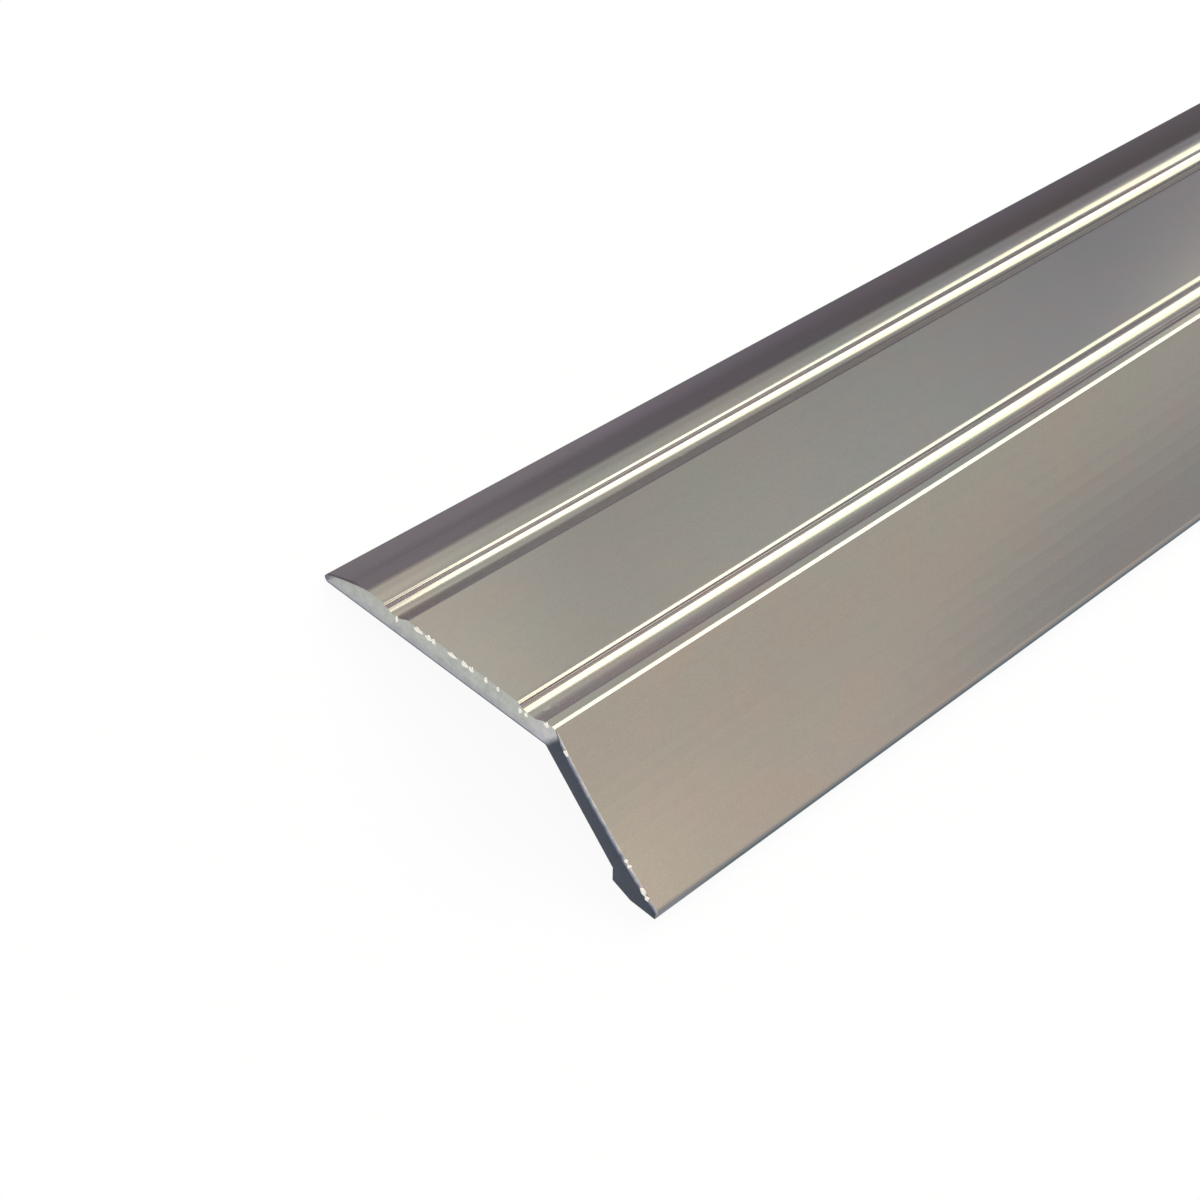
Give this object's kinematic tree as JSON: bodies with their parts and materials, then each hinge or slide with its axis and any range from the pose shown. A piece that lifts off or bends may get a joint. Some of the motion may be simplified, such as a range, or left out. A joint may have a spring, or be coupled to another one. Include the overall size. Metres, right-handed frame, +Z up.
{
  "type": "carpet transition strip",
  "caption": "Extruded aluminium floor transition strip: a thin plate with a bevelled nose and grip grooves, and an angled flange with a foot that ramps down to a lower floor.",
  "frame": {"origin": "on the floor under the middle of the strip's box, where the unfastened strip lies on its nose and the inner edge of its foot", "axes": "+X along the strip, +Y towards the thin nose, +Z up from the floor; the flange and foot are on the -Y side and the plate leans down towards the nose by 15.2 degrees"},
  "size_m": [0.9, 0.0432, 0.0101],
  "materials": {
    "anodised_aluminium": "satin natural anodised, faint die lines along the length, bare saw-cut ends"
  },
  "bodies": {
    "root": {"strip_extrusion": "anodised_aluminium"}
  },
  "joints": []
}
